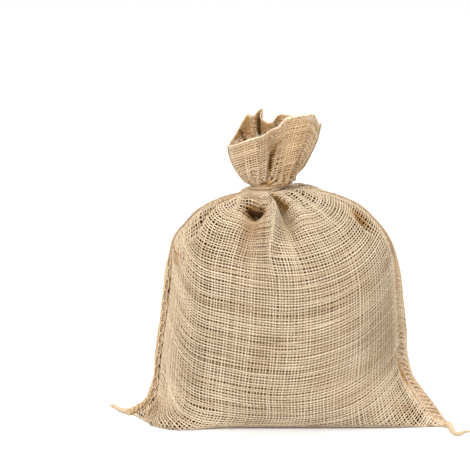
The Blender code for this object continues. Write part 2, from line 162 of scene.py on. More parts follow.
# The body's outline, a row for each level: where the seams run, the bulge of each panel, how square it is
# on each side, and how wide the seam allowances are.
BodyLevel = namedtuple(
    "BodyLevel",
    "z left right front back leftY rightY leftBox rightBox edge backEdge leftFlange rightFlange",
)
bodyLevels = [BodyLevel(*row) for row in [
    (0, -139, 142, 57, 57, -17, -54, 9, 5, 1.00, 1.3, 5.5, 11),
    (2, -136.5, 139, 60.5, 60, -16.5, -53, 8, 4.6, 1.00, 1.25, 6.5, 12),
    (6, -128.5, 134, 64, 63, -15, -50, 5.6, 4, 0.95, 1.15, 7, 12),
    (13, -120, 127, 68, 66, -11, -42, 4, 3.4, 0.88, 1.0, 7, 12),
    (23, -116.5, 118.5, 72, 69, -5, -30, 2.9, 2.9, 0.78, 0.86, 6.5, 10.5),
    (35, -115, 110, 74.5, 71, 0, -15, 2.4, 2.4, 0.7, 0.72, 5, 8),
    (50, -113.5, 105, 75.5, 72.5, 0, -4, 2.2, 2.2, 0.64, 0.64, 5.5, 8.5),
    (74, -110.5, 104, 76, 73.5, 0, 0, 2.1, 2.1, 0.6, 0.58, 5.5, 8),
    (102, -106.5, 102.5, 75.5, 73.5, 0, 0, 2, 2, 0.57, 0.56, 5.5, 6.5),
    (128, -104, 100.5, 72.5, 71.5, 0, 1, 2, 2, 0.55, 0.54, 5.5, 5),
    (149, -102.5, 97.5, 67, 67, 2, 3, 2, 2, 0.53, 0.53, 3.2, 3.5),
    (164, -99.5, 92, 60.5, 61.5, 4, 5, 2, 2, 0.52, 0.52, 1.6, 2),
    (177, -89.5, 83, 53, 54.5, 5, 6, 2, 2, 0.5, 0.5, 1.2, 1.2),
    (187.5, -80, 73, 45, 47, 5, 6, 2, 2, 0.5, 0.5, 1, 1),
    (195, -69.5, 61.5, 37.5, 39.5, 4, 5, 2, 2, 0.5, 0.5, 1, 1),
    (200.5, -60, 47, 30.5, 32.5, 3, 4, 2, 2, 0.5, 0.5, 1, 1),
    (204.5, -51, 30, 24.5, 26, 2, 3, 2, 2, 0.5, 0.5, 1, 1),
    (207.5, -42, 13.5, 18.5, 19.5, 1, 1, 2, 2, 0.5, 0.5, 0.6, 0.6),
    (neck["z"], neck["x"] - neck["halfWidth"], neck["x"] + neck["halfWidth"], neck["halfDepth"], neck["halfDepth"],
     0, 0, 2, 2, 0.5, 0.5, 0.3, 0.3),
]]
bodyShape = {
    "columns": 241,  # points across one panel
    "rowsPerLevel": 9,
    "baseRows": 20,
    "backBox": 2.2,
    "leftEarTurn": 14,  # degrees, back
    "rightEarTurn": -16,
    "rightFlangeTurn": 6,
    "earHeight": 30.0,
    "tieEase": 7.0,  # folds and dents start this far below the tie
    "gathers": 15,
    "gatherDepth": 1.3,
    "gatherStart": 190.0,
    "tiedDepth": 0.25,
}


def panelOutline(level, side):
    across = np.sin(np.linspace(-0.5, 0.5, 721) * math.pi)
    half = hessian["seamThickness"] / 2
    if side < 0:
        bulge, edge, box = level.front, level.edge, np.where(across < 0, level.leftBox, level.rightBox)
    else:
        bulge, edge, box = level.back, level.backEdge, bodyShape["backBox"]
    swell = (1 - np.abs(across) ** box) ** edge
    seamY = np.where(across < 0, level.leftY, level.rightY) * (1 - swell)
    x = partWay(level.left, level.right, (across + 1) / 2)
    y = seamY + side * (half + (bulge - half) * swell)
    return evenly(np.stack([x, y, np.full_like(x, level.z)], axis=1), bodyShape["columns"])


def flangeTip(seamPoint, direction, width):
    heading = np.array([math.cos(direction), math.sin(direction), 0.0])
    across = np.array([0.0, hessian["seamThickness"] / 2, 0.0])
    tip = seamPoint + heading * width
    return tip - across, tip + across


def flangeHeading(level, left):
    low = 1 - smoothStep(level.z / bodyShape["earHeight"])
    if left:
        return math.pi - math.radians(bodyShape["leftEarTurn"]) * low
    return math.radians(bodyShape["rightEarTurn"]) * low + math.radians(bodyShape["rightFlangeTurn"]) * (1 - low)


def ringOf(front, back, rightHeading, leftHeading, rightFlange, leftFlange):
    rightTip = flangeTip((front[-1] + back[-1]) / 2, rightHeading, rightFlange)
    leftTip = flangeTip((front[0] + back[0]) / 2, leftHeading, leftFlange)
    return np.vstack([front, *rightTip, back[::-1], *reversed(leftTip)])


def bodyRing(level):
    return ringOf(panelOutline(level, -1), panelOutline(level, 1), flangeHeading(level, False),
                  flangeHeading(level, True), level.rightFlange, level.leftFlange)


def outwardOf(grid):
    around = np.roll(grid, -1, axis=1) - np.roll(grid, 1, axis=1)
    return unit(np.cross(around, np.gradient(grid, axis=0)))


columns = bodyShape["columns"]
panelShare = np.linspace(-1, 1, columns)
ringShare = np.concatenate([panelShare, [1, 1], panelShare[::-1], [-1, -1]])
offSeams = 1 - np.abs(ringShare) ** 12  # folds die out at the seams
isFront = np.arange(len(ringShare)) < columns


def turnsRound(count):
    return np.arange(len(ringShare)) * 2 * math.pi * count / len(ringShare)


def onPanel(name):
    return isFront == (name == "front")


def dropsOf(grid):
    return lengthsAlong(grid[::-1, columns // 2])[::-1]


def halfWidthsOf(grid):
    return stepsOf(grid[:, :columns], 1).sum(axis=1) / 2


# Folds that run down from the tie.
Fold = namedtuple("Fold", "panel topShare topDrop lowShare lowDrop topSpread lowSpread height peak")
folds = rowsOf(Fold, {
    "front": [
        (-0.04, 0, -0.12, 110, 3, 5, 11.5, 0.28),  # the standing pleat
        (0.02, 1, 0.12, 84, 3, 8, -12, 0.24),  # the valley right of it
        (0.16, 2, 0.26, 88, 5, 14, 4, 0.3),
        (-0.34, 16, -0.19, 104, 8, 11, -11, 0.3),  # the hollow under the pocket
        (-0.82, 2, -0.48, 105, 5, 13, 6, 0.3),
        (-0.92, 4, -0.74, 74, 4.5, 8, -12.5, 0.55),  # the valley along the left shoulder
        (0.95, 165, 0.88, 236, 5, 9, -2.5, 0.6),  # the crease beside the right ear
        (-0.93, 175, -0.86, 232, 4, 7, -2, 0.5),
    ],
    "back": [
        (-0.75, 2, -0.6, 90, 4, 12, -7, 0.3), (-0.45, 0, -0.36, 110, 4.5, 12, 7, 0.25),
        (-0.2, 0, -0.18, 85, 4, 9, -9, 0.25), (0.05, 0, 0.04, 115, 4, 10, 6, 0.25),
        (0.28, 2, 0.2, 84, 4, 9, -8, 0.28), (0.5, 0, 0.45, 100, 5, 13, 3, 0.25),
        (0.8, 4, 0.68, 80, 4, 9, -6, 0.4),
    ],
})
Dent = namedtuple("Dent", "panel share drop across along height slide")
dents = rowsOf(Dent, {
    "front": [
        (-0.42, 11, 12, 5.5, 8, 5),  # the roll over the pocket
        (-0.33, 24, 9, 5.2, -15, 0),  # the pocket
        (0.5, 8, 13, 6, 4, 0),  # the shoulder that rises beside the tie
        (-0.63, 243, 25, 26, 8.5, 0),  # the corner that bulges over the left ear
        (-0.72, 62, 9, 6, 3, 0), (-0.82, 84, 8, 7, -4, 0),
        (0.82, 47, 6.5, 11, -9, 0),  # the dent in the right shoulder
        (0.9, 66, 6, 8, 3, 0),
    ],
    "back": [
        (-0.84, 52, 7, 11, -5, 0), (0.5, 150, 40, 30, -2, 0),
    ],
})


def dentReach(dent, grid):
    across = (ringShare - dent.share) * halfWidthsOf(grid)[:, None] / dent.across
    along = (dropsOf(grid)[:, None] - dent.drop) / dent.along
    return np.where(onPanel(dent.panel), np.exp(-(across**2) - along**2), 0)


def downward(grid):
    return unit(-np.gradient(grid, axis=0))


def foldOffset(grid):
    z = grid[..., 2]
    drop = dropsOf(grid)[:, None]
    halfWidth = halfWidthsOf(grid)[:, None]
    offset = np.zeros_like(z)
    for fold in folds:
        down = (drop - fold.topDrop) / (fold.lowDrop - fold.topDrop)
        part = np.clip(down, 0, 1)
        path = partWay(fold.topShare, fold.lowShare, part)
        spread = partWay(fold.topSpread, fold.lowSpread, part)
        height = fold.height * hump(down, 0.12, fold.peak)
        height = height * np.exp(-(((ringShare - path) * halfWidth / spread) ** 2))
        offset += np.where(onPanel(fold.panel), height, 0)
    for dent in dents:
        offset += dent.height * dentReach(dent, grid)
    offset *= smoothStep(drop / bodyShape["tieEase"])
    gather = smoothStep((z - bodyShape["gatherStart"]) / (neck["z"] - bodyShape["gatherStart"]))
    held = 1 - (1 - bodyShape["tiedDepth"] / bodyShape["gatherDepth"]) * smoothStep((z - neck["z"] + 6) / 5)
    turns = turnsRound(bodyShape["gathers"])
    uneven = 0.7 + 0.3 * np.sin(turns * 0.37 + 1.0)  # no two gathers alike
    offset += bodyShape["gatherDepth"] * gather * held * uneven * np.sin(turns + 0.6 * np.sin(turns * 0.21))
    return offset * offSeams


def bodyGrids():
    rows = through(bodyLevels, bodyShape["rowsPerLevel"])
    plain = np.stack([bodyRing(BodyLevel(*row)) for row in rows])
    slide = sum(dent.slide * dentReach(dent, plain) for dent in dents)
    offset = foldOffset(plain)
    folded = plain + outwardOf(plain) * offset[..., None] + downward(plain) * slide[..., None]
    folded[..., 2] = np.clip(folded[..., 2], 0, neck["z"])
    folded[0, :, 2] = 0
    folded[-1, :, 2] = neck["z"]
    return plain, folded, offset


# The mouth's edge, from the left seam round the front to the right seam and back round.
rimFront = [
    (-52, -2, 250.5), (-43, -17, 256.5), (-33, -22, 261), (-20, -16, 263.5), (-12, -6, 266.5), (-7, -5, 269),
    (-1, -12, 277.5), (8, -19, 281.5), (20, -18, 283), (26.5, -12, 282), (29.5, -5, 275), (32, 2, 269),
]
rimBack = [
    (32, 2, 269), (24, 16, 268), (14, 21, 272), (7.5, 20, 272.5), (-2, 24, 273.5), (-8, 21, 272.5),
    (-12.5, 12, 268), (-17, 15, 268), (-21.5, 21, 271), (-20.5, 29, 277.5), (-26.5, 24, 275.5),
    (-29, 12, 274), (-34, 17, 274.5), (-38.5, 14, 270), (-44.5, 7, 261), (-52, -2, 250.5),
]

# How far the mouth has flared out to its rim at each share of its height, on its two sides.
flares = [(0, 0, 0), (0.1, 0.2, 0.22), (0.25, 0.43, 0.47), (0.5, 0.75, 0.7), (0.75, 0.94, 0.9), (1, 1, 1)]
Pleat = namedtuple("Pleat", "panel share spread height peak")
pleats = rowsOf(Pleat, {
    "front": [
        (-0.07, 1.6, -2.4, 0.5),  # the valley between the two lobes
        (0.04, 6, -2.5, 0.6), (0.3, 7, 2.5, 0.45), (-0.55, 7, 1.5, 0.4), (0.68, 6, -2.5, 0.5),
    ],
    "back": [
        (-0.4, 5, -3, 0.4), (0.25, 5, -3.5, 0.4),
    ],
})
mouthShape = {
    "rows": 60,
    "landRows": 6,
    "cutHeight": 0.078,  # of the cloth above the tie, in metres
    "selvage": (0.45, 1.35, 2.4, 3.9),  # the first weft yarns, from the edge
    "selvageFullness": 1.4,
    "selvageLight": 0.5,
    "weftPitch": 2.3,
    "closeness": {"front": 0.88, "back": 0.66},  # of the warp yarns, against the body's
    "fullness": {"front": 1.02, "back": 1.45},
    "shade": 0.15,  # painted shade over the whole mouth, in the hollows' measure
    # painted shade on the yarns' sides and underside, more on the back, whose underside faces the mouth's inside
    "sideShade": {"front": 0.09, "back": 0.17},
    "seamLight": 0.3,  # how much of the painted shade is taken off the edges at the seams
    "seamLightFrom": 0.88,
    "crowd": 8.0,  # the height above the tie in which the last weft yarns crowd together
    "lobeDrop": 4.2,  # how far the right lobe's foot hangs down over the tie
    "lobeReach": 3.2,
    "lobeHeight": 0.07,
    "gathers": 22,
    "gatherDepth": 1.5,
    "gatherHeight": 0.12,  # share of the mouth's height at which they are deepest
    "gatherFade": 0.6,
}


def rimRing():
    half = np.array([0, hessian["seamThickness"] / 2, 0])
    front = evenly(through(rimFront, 24), columns) - half
    back = evenly(through(rimBack, 24), columns)[::-1] + half
    flange = bodyLevels[-1].leftFlange
    return ringOf(front, back, 0, math.pi, flange, flange)


def mouthGrid(neckRing):
    foot = neckRing + np.array([0, 0, neck["land"]])
    rim = rimRing()
    heights = np.linspace(0, 1, mouthShape["rows"] + 1)[:, None]
    curve = through(flares, 8)
    left = np.interp(heights, curve[:, 0], curve[:, 1])
    right = np.interp(heights, curve[:, 0], curve[:, 2])
    spread = partWay(left, right, (ringShare + 1) / 2)
    grid = partWay(foot, rim, np.stack([spread, spread, np.broadcast_to(heights, spread.shape)], axis=2))
    halfWidth = halfWidthsOf(grid)[:, None]
    offset = np.zeros(grid.shape[:2])
    for pleat in pleats:
        away = (ringShare - pleat.share) * halfWidth / pleat.spread
        height = pleat.height * hump(heights, 0, pleat.peak) * np.exp(-(away**2))
        offset += np.where(onPanel(pleat.panel), height, 0)
    turns = turnsRound(mouthShape["gathers"])
    low = mouthShape["gatherHeight"]
    gather = smoothStep(heights / low) * (1 - smoothStep((heights - low) / mouthShape["gatherFade"]))
    wave = np.sin(turns + 0.9 * np.sin(turns * 0.17))
    offset += mouthShape["gatherDepth"] * gather * wave * offSeams
    grid = grid + outwardOf(grid) * offset[..., None]
    lobe = np.where(isFront, smoothStep(ringShare / 0.3) * (1 - smoothStep((ringShare - 0.8) / 0.2)), 0)
    lobe = lobe * np.exp(-((heights / mouthShape["lobeHeight"] - 1) ** 2))
    grid = grid + outwardOf(grid) * mouthShape["lobeReach"] * lobe[..., None]
    grid[..., 2] -= mouthShape["lobeDrop"] * lobe
    land = np.linspace(0, neck["land"], mouthShape["landRows"], endpoint=False)[:, None, None]
    return np.concatenate([neckRing + land * np.array([0, 0, 1]), grid])


# The neck as the tie draws it in and tilts it.
def tied(points):
    x, y, z = np.moveaxis(points, -1, 0)
    above = z - neck["z"] - neck["land"] / 2
    under = smoothStep((x - neck["x"]) / 12) * smoothStep(-y / 8)
    near = np.exp(-((above / neck["pinchReach"]) ** 2)) * (1 - (1 - neck["rightPinch"]) * under)
    narrowed = 1 - neck["pinch"] * near
    x = neck["x"] + (x - neck["x"]) * narrowed
    across = np.clip((x - neck["x"]) / neck["halfWidth"], -1.5, 1.5)
    lift = neck["tilt"] * across * np.exp(-((above / neck["tiltReach"]) ** 2))
    return np.stack([x, y * narrowed, z + lift], axis=-1)


# Smooth random numbers along each yarn: rows of the result are yarns.
def wander(yarns, points, reach):
    knots = dice.normal(size=(yarns, max(4, int(points / reach) + 3)))
    at = np.linspace(0, knots.shape[1] - 1.001, points)
    low = at.astype(int)
    part = at - low
    part = part * part * (3 - 2 * part)
    return knots[:, low] * (1 - part) + knots[:, low + 1] * part


# A small random change for each yarn or stitch.
def nudge(count, amount):
    return amount * dice.normal(size=(count, 1))


def meshOf(name, points, quads, uvs, ends):
    mesh = bpy.data.meshes.new(name)
    mesh.from_pydata((points.reshape(-1, 3) * mm).tolist(), [], quads.tolist() + ends.tolist())
    layer = mesh.uv_layers.new(name="OFBake", do_init=False)
    uvs = np.pad(uvs, ((0, len(mesh.loops) - len(uvs)), (0, 0)), mode="edge")  # the end caps share one place
    layer.uv.foreach_set("vector", uvs.astype(np.float32).ravel())
    mesh.shade_smooth()
    return mesh


def addObject(name, data):
    made = bpy.data.objects.new(name, data)
    bpy.context.scene.collection.objects.link(made)
    return made


def addPiece(name, mesh, finish, slot, *stoodFor):
    mesh.materials.append(finish)
    piece = addObject(name, mesh)
    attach(piece, "root")
    if stoodFor:
        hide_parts(*stoodFor)
    return piece


# Faces, map places and end caps of closed tubes made of rings.
def tubeFaces(tubes, count, sides):
    index = np.arange(tubes * count * sides).reshape(tubes, count, sides)
    near, far = index[:, :-1], index[:, 1:]
    quads = np.stack([near, np.roll(near, -1, 2), np.roll(far, -1, 2), far], axis=-1)
    tube, step, side = np.indices((tubes, count - 1, sides))
    left = (tube + 0.05 + 0.9 * side / sides) / tubes
    right = (tube + 0.05 + 0.9 * (side + 1) / sides) / tubes
    low = (step + 0.02) / (count - 1)
    high = (step + 0.98) / (count - 1)
    uvs = np.stack([left, low, right, low, right, high, left, high], axis=-1)
    return quads.reshape(-1, 4), uvs.reshape(-1, 2), np.concatenate([index[:, 0, ::-1], index[:, -1]])


# Many yarns of one kind: centres is yarns x points x 3, and outward leaves the cloth.
def yarnSet(centres, outward, halfWidths, halfDepths, tones, hollows, sides=4, sideShade=hessian["sideShade"]):
    yarns, count = centres.shape[:2]
    along = unit(np.gradient(centres, axis=1))
    sideways = unit(np.cross(outward, along))
    upward = np.cross(along, sideways)
    turns = np.arange(sides) * 2 * math.pi / sides
    cosines = np.cos(turns)[None, None, :, None]
    sines = np.sin(turns)[None, None, :, None]
    rings = (
        centres[:, :, None]
        + sideways[:, :, None] * cosines * halfWidths[..., None, None]
        + upward[:, :, None] * sines * halfDepths[..., None, None]
    )
    tone = np.repeat(tones[..., None], sides, axis=2)
    # Painted shade: none on a yarn's top, more on its sides, most on its underside.
    hollow = hollows[..., None] + sideShade * (1 - np.sin(turns))
    return rings.reshape(-1, 3), *tubeFaces(yarns, count, sides), [tone.ravel(), hollow.ravel()]


# One mesh from one or more sets of yarns.
def yarnMesh(name, *sets):
    points, quads, uvs, ends, marks = zip(*sets)
    starts = np.cumsum([0] + [len(some) for some in points[:-1]])
    quads, ends = (np.concatenate([some + start for some, start in zip(each, starts)]) for each in (quads, ends))
    laidOut = [(some + [number, 0]) / [len(sets), 1] for number, some in enumerate(uvs)]
    points = np.concatenate(points)
    points[:, 2] = np.maximum(points[:, 2], hessian["liftOff"])
    mesh = meshOf(name, points, quads, np.concatenate(laidOut), ends)
    for label, values in zip(("tone", "hollow"), zip(*marks)):
        layer = mesh.attributes.new(label, "FLOAT", "POINT")
        layer.data.foreach_set("value", np.concatenate(values).astype(np.float32))
    return mesh


flangeColumns = 4
gridShare = np.pad(panelShare, flangeColumns, mode="edge")


# One panel from seam to seam: columns run from left to right.
def panelOf(ring, name):
    return ring[:, :columns] if name == "front" else ring[:, columns + 2 : 2 * columns + 2][:, ::-1]


# One panel with its seam allowances as an open grid.
def panelGrid(ring, name):
    panel = panelOf(ring, name)
    leftAt, rightAt = (-1, columns) if name == "front" else (-2, columns + 1)
    leftTip, rightTip = ring[:, leftAt, None], ring[:, rightAt, None]
    share = np.arange(flangeColumns)[None, :, None] / flangeColumns
    left = partWay(leftTip, panel[:, :1], share)
    right = partWay(rightTip, panel[:, -1:], share[:, ::-1])
    return np.concatenate([left, panel, right], axis=1)


def panelNormals(grid, name):
    normal = unit(np.cross(np.gradient(grid, axis=1), np.gradient(grid, axis=0)))
    return normal if name == "front" else -normal


# Lines along which the cloth that is spare near the tie is tucked away, and how much each one takes.
Tuck = namedtuple("Tuck", "panel topShare lowShare lowDrop takes")
bodyTucks = rowsOf(Tuck, {
    "front": [
        (-0.92, -0.74, 74, 0.17), (-0.62, -0.52, 60, 0.07), (-0.36, -0.19, 104, 0.22), (-0.12, -0.18, 90, 0.06),
        (0.01, 0.1, 90, 0.26), (0.45, 0.42, 60, 0.07), (0.86, 0.8, 60, 0.15),
    ],
    "back": [
        (-0.75, -0.6, 90, 0.25), (-0.2, -0.18, 85, 0.25), (0.28, 0.2, 84, 0.25), (0.8, 0.68, 80, 0.25),
    ],
})


# How many millimetres of cloth lie between the panel's middle and each grid column.
def warpPlaces(grid, drop, tucks, halfCloth, width=2.4):
    panel = grid[:, flangeColumns:-flangeColumns]
    along = np.pad(np.cumsum(stepsOf(panel, 1), axis=1), ((0, 0), (1, 0)))
    total = along[:, -1:]
    spare = 2 * halfCloth - total
    hidden = np.zeros_like(along)
    for tuck in tucks:
        down = np.clip(drop[:, None] / tuck.lowDrop, 0, 1)
        path = partWay(tuck.topShare, tuck.lowShare, down)
        away = (panelShare - path) * total / 2 / (width * (1 + down))
        hidden += tuck.takes * smoothStep(0.5 + away / 2)
    low = smoothStep((drop - hessian["tuckReach"]) / hessian["tuckFade"])[:, None]
    eased = np.clip(spare / total, 0, hessian["evenSpare"] + low)
    tucked = along * (1 + eased) + (spare - eased * total) * hidden
    return np.where(spare > 0, tucked, along / total * 2 * halfCloth) - halfCloth


# How many millimetres of cloth lie between the bottom fold and each grid row. Above the corners a level grid
# without folds may stand in for the grid, so that the weft keeps its level over them.
def weftPlaces(grid, level=None):
    steps = stepsOf(grid)
    if level is not None:
        levelSteps = stepsOf(level)
        near = 1 - smoothStep((level[1:, :, 2] - 4) / hessian["cornerReach"])
        steps = levelSteps + near * np.maximum(steps - levelSteps, 0)
    return np.pad(np.cumsum(steps, axis=0), ((1, 0), (0, 0)))


# Values evened out along the grid's columns, as cloth spreads its slant over a width.
def evened(values, reach):
    weights = np.exp(-((np.arange(-2 * reach, 2 * reach + 1) / reach) ** 2))
    wide = np.pad(values, ((0, 0), (2 * reach, 2 * reach)), mode="edge")
    return np.stack([np.convolve(row, weights / weights.sum(), "valid") for row in wide])


# Reads grids at fractional rows and columns.
def readAt(grid, rows, cols):
    low = np.clip(rows.astype(int), 0, grid.shape[0] - 2)
    left = np.clip(cols.astype(int), 0, grid.shape[1] - 2)
    down = rows - low
    side = cols - left
    if grid.ndim == 3:
        down = down[..., None]
        side = side[..., None]
    below = grid[low, left] * (1 - side) + grid[low, left + 1] * side
    above = grid[low + 1, left] * (1 - side) + grid[low + 1, left + 1] * side
    return below * (1 - down) + above * down


# Places that lie near an edge or past it crowd towards it instead; a crowd below 0 lies above its edge.
def crowded(places, edge, crowd):
    past = (places - edge) / crowd + 1
    return np.where(past > 0, edge - crowd * np.exp(-np.maximum(past, 0)), places)


# Where a panel's yarns cross, weft by warp, in fractional grid rows and columns. weftRows are places along
# the grid's columns; past a column's end they crowd together.
def crossings(warps, wefts, halfCloth, weftRows, crowd, closeness=1.0, bottomCrowd=1.5):
    evenness = hessian["evenness"]
    warpCount = int(2 * halfCloth * evenness / warp["pitch"] / closeness)
    spread = (np.arange(warpCount) + 0.5) / warpCount * 2 - 1
    spread = spread + hessian["unevenness"] * 2 / warpCount * dice.normal(size=warpCount)
    warpAt = halfCloth * (evenness * spread + (1 - evenness) * spread**3)
    rowCount, columnCount = wefts.shape
    edges = (np.arange(hessian["flangeYarns"]) + 0.5) / hessian["flangeYarns"] * flangeColumns
    middle = np.arange(flangeColumns, columnCount - flangeColumns)
    everyColumn = np.arange(columnCount)
    everyRow = np.arange(rowCount)
    rows = []
    cols = []
    for place in weftRows:
        wanted = crowded(crowded(place, wefts[-1], crowd), wefts[0], -bottomCrowd)
        at = np.array([np.interp(wanted[c], wefts[:, c], everyRow) for c in everyColumn])
        low = np.clip(at[middle].astype(int), 0, rowCount - 2)
        part = at[middle] - low
        warpHere = warps[low, middle - flangeColumns] * (1 - part) + warps[low + 1, middle - flangeColumns] * part
        inPanel = np.interp(warpAt, warpHere, middle)
        col = np.concatenate([edges, inPanel, columnCount - 1 - edges[::-1]])
        cols.append(col)
        rows.append(np.interp(col, everyColumn, at))
    return np.array(rows), np.array(cols)


# Half widths of yarns of one kind whose neighbours lie gap millimetres apart.
def yarnWidths(kind, gap, size, fullness):
    room = np.clip(gap / kind["width"], hessian["tightest"], 1)
    spare = np.clip(gap / kind["pitch"] / hessian["spareGap"], 1, 3)
    return kind["width"] / 2 * np.clip(size, hessian["thinnest"], kind["fattest"]) * room * spare * fullness


# Weaves one panel: its weft yarns and its warp yarns as one mesh.
def weave(name, grid, normals, rows, cols, hollows, selvage=0, fullness=1.0, sideShade=hessian["sideShade"]):
    middle = readAt(grid, rows, cols)
    hollow = readAt(hollows, rows, cols)
    outward = unit(readAt(normals, rows, cols))
    wefts, warps = rows.shape
    sideways = unit(np.gradient(middle, axis=1))
    upward = unit(np.gradient(middle, axis=0))
    middle = middle + sideways * (warp["stray"] * wander(warps, wefts, 7).T)[..., None]
    middle = middle + upward * (weft["stray"] * wander(wefts, warps, 9))[..., None]
    middle = middle - outward * hessian["inset"]
    middle[..., 2] = np.maximum(middle[..., 2], hessian["inset"])
    acrossGap = np.linalg.norm(np.gradient(middle, axis=1), axis=2)
    upGap = np.linalg.norm(np.gradient(middle, axis=0), axis=2)
    tucked = np.clip(1 - acrossGap / warp["pitch"] / 0.5, 0, 1)[..., None]
    over = np.where(np.indices(rows.shape).sum(axis=0) % 2 == 0, 1.0, -1.0) * hessian["waveHeight"]
    over *= np.clip(np.minimum(acrossGap / warp["pitch"], upGap / weft["pitch"]), hessian["tightest"], 1)
    slubs = weft["slubs"] * np.clip(nudge(wefts, 1) - 1.1, 0, 1)
    weftSize = 1 + nudge(wefts, weft["variety"]) + slubs + weft["waver"] * wander(wefts, warps, 8)
    warpSize = 1 + nudge(warps, warp["variety"]).T + warp["waver"] * wander(warps, wefts, 8).T
    hollow[:selvage] = 0
    fullness = fullness * (1 + hessian["hollowFullness"] * hollow)
    weftWidth = yarnWidths(weft, upGap, weftSize, fullness)
    warpWidth = yarnWidths(warp, acrossGap, warpSize, fullness)
    toneWaver = hessian["toneWaver"]
    weftTone = weft["tone"] + nudge(wefts, weft["toneVariety"]) + toneWaver * wander(wefts, warps, 10)
    warpTone = warp["tone"] + nudge(warps, warp["toneVariety"]).T + toneWaver * wander(warps, wefts, 10).T
    weftWidth[:selvage] *= mouthShape["selvageFullness"]
    weftTone[:selvage] += mouthShape["selvageLight"]
    depth = np.full(rows.shape, hessian["yarnDepth"] / 2)
    over = over[..., None]
    sunk = middle - outward * (over + hessian["warpSink"] + 1.2 * tucked)
    turned = (1, 0, 2)
    return yarnMesh(
        name,
        yarnSet(middle + outward * over, outward, weftWidth, depth, weftTone, hollow, sideShade=sideShade),
        yarnSet(sunk.transpose(turned), outward.transpose(turned), warpWidth.T, depth.T, warpTone.T, hollow.T,
                sideShade=sideShade),
    )


def linear(colour):
    return [c / 12.92 if c <= 0.04045 else ((c + 0.055) / 1.055) ** 2.4 for c in colour] + [1.0]


def setInputs(node, values):
    for socket, value in dict(values).items():
        node.inputs[socket].default_value = value


def newMaterial(name, surface):
    made = bpy.data.materials.new(name)
    made.use_nodes = True
    setInputs(made.node_tree.nodes["Principled BSDF"], surface)
    return made


def addNode(nodes, kind, values=(), **settings):
    node = nodes.new("ShaderNode" + kind)
    for setting, choice in settings.items():
        setattr(node, setting, choice)
    setInputs(node, values)
    return node


# Each wire is a node, its output, the next node and its input.
def wire(links, *wires):
    for start, outlet, end, inlet in wires:
        links.new(start.outputs[outlet], end.inputs[inlet])


# Fibre streaks and broad patches, shared by every finish.
def fibreGroup():
    group = bpy.data.node_groups.new("juteFibres", "ShaderNodeTree")
    group.interface.new_socket("Value", in_out="OUTPUT", socket_type="NodeSocketFloat")
    group.interface.new_socket("Normal", in_out="OUTPUT", socket_type="NodeSocketVector")
    nodes = group.nodes
    place = addNode(nodes, "TexCoord")
    fibres = addNode(nodes, "TexNoise", {"Scale": 900, "Detail": 2})
    patches = addNode(nodes, "TexNoise", {"Scale": 28, "Detail": 3})
    both = addNode(nodes, "Math", {1: 0.6}, operation="MULTIPLY_ADD")
    bump = addNode(nodes, "Bump", {"Strength": 0.35, "Distance": 0.0003})
    outlet = nodes.new("NodeGroupOutput")
    wire(
        group.links,
        (place, "Object", fibres, "Vector"),
        (place, "Object", patches, "Vector"),
        (patches, "Fac", both, 0),
        (fibres, "Fac", both, 2),
        (fibres, "Fac", bump, "Height"),
        (both, 0, outlet, "Value"),
        (bump, "Normal", outlet, "Normal"),
    )
    return group


juteFibres = fibreGroup()


def rampOf(nodes, stops):
    ramp = addNode(nodes, "ValToRGB")
    for at, shade in stops[1:-1]:
        ramp.color_ramp.elements.new(at)
    for stop, (at, shade) in zip(ramp.color_ramp.elements, stops):
        stop.position = at
        stop.color = linear(shade)
    return ramp


# Yarn colour: its tone broken up by the fibres, then darkened by painted shade in hollows and creases.
def yarnMaterial(name, shades, gloss=0.2):
    made = newMaterial(name, {"Roughness": 0.92, "Specular IOR Level": gloss})
    nodes = made.node_tree.nodes
    surface = nodes["Principled BSDF"]
    tone = addNode(nodes, "Attribute", attribute_name="tone")
    hollow = addNode(nodes, "Attribute", attribute_name="hollow")
    fibres = addNode(nodes, "Group", node_tree=juteFibres)
    broken = addNode(nodes, "Math", {1: 0.5}, operation="MULTIPLY_ADD")
    lower = addNode(nodes, "Math", {1: 0.4}, operation="SUBTRACT")
    ramp = rampOf(nodes, [(0.1, shades[0]), (0.5, shades[1]), (0.9, shades[2])])
    shadow = rampOf(nodes, [(0, (1, 1, 1)), (0.5, hessian["hollow"]), (1, hessian["crease"])])
    warmed = addNode(nodes, "Mix", {"Factor": 1}, data_type="RGBA", blend_type="MULTIPLY")
    wire(
        made.node_tree.links,
        (fibres, "Value", broken, 0),
        (tone, "Fac", broken, 2),
        (broken, 0, lower, 0),
        (lower, 0, ramp, "Fac"),
        (hollow, "Fac", shadow, "Fac"),
        (ramp, "Color", warmed, "A"),
        (shadow, "Color", warmed, "B"),
        (warmed, "Result", surface, "Base Color"),
        (fibres, "Normal", surface, "Normal"),
    )
    return made


yarnFinish = yarnMaterial("juteYarn", [hessian["darkest"], hessian["middle"], hessian["lightest"]])

plain, folded, offset = bodyGrids()
body = tied(folded)
mouth = tied(mouthGrid(folded[-1]))
print("surfaces laid out", body.shape, mouth.shape)


# A panel with its half of the underside before it, from the bottom fold out.
def withUnderside(grids, side, otherSide):
    fold = (grids[side][0] + grids[otherSide][0]) / 2
    steps = np.linspace(0, 1, bodyShape["baseRows"] + 1)[:-1, None, None]
    return np.concatenate([partWay(fold, grids[side][0], steps), grids[side]])


# How far each grid column lies from the panel's middle, in millimetres, seam allowances included.
def acrossOf(grid):
    steps = stepsOf(grid, 1)
    halfWidth = steps[:, flangeColumns:-flangeColumns].sum(axis=1)[:, None] / 2
    across = gridShare * halfWidth
    outer = np.arange(flangeColumns, 0, -1)
    across[:, :flangeColumns] -= outer * steps[:, :1]
    across[:, -flangeColumns:] += outer[::-1] * steps[:, -1:]
    return across
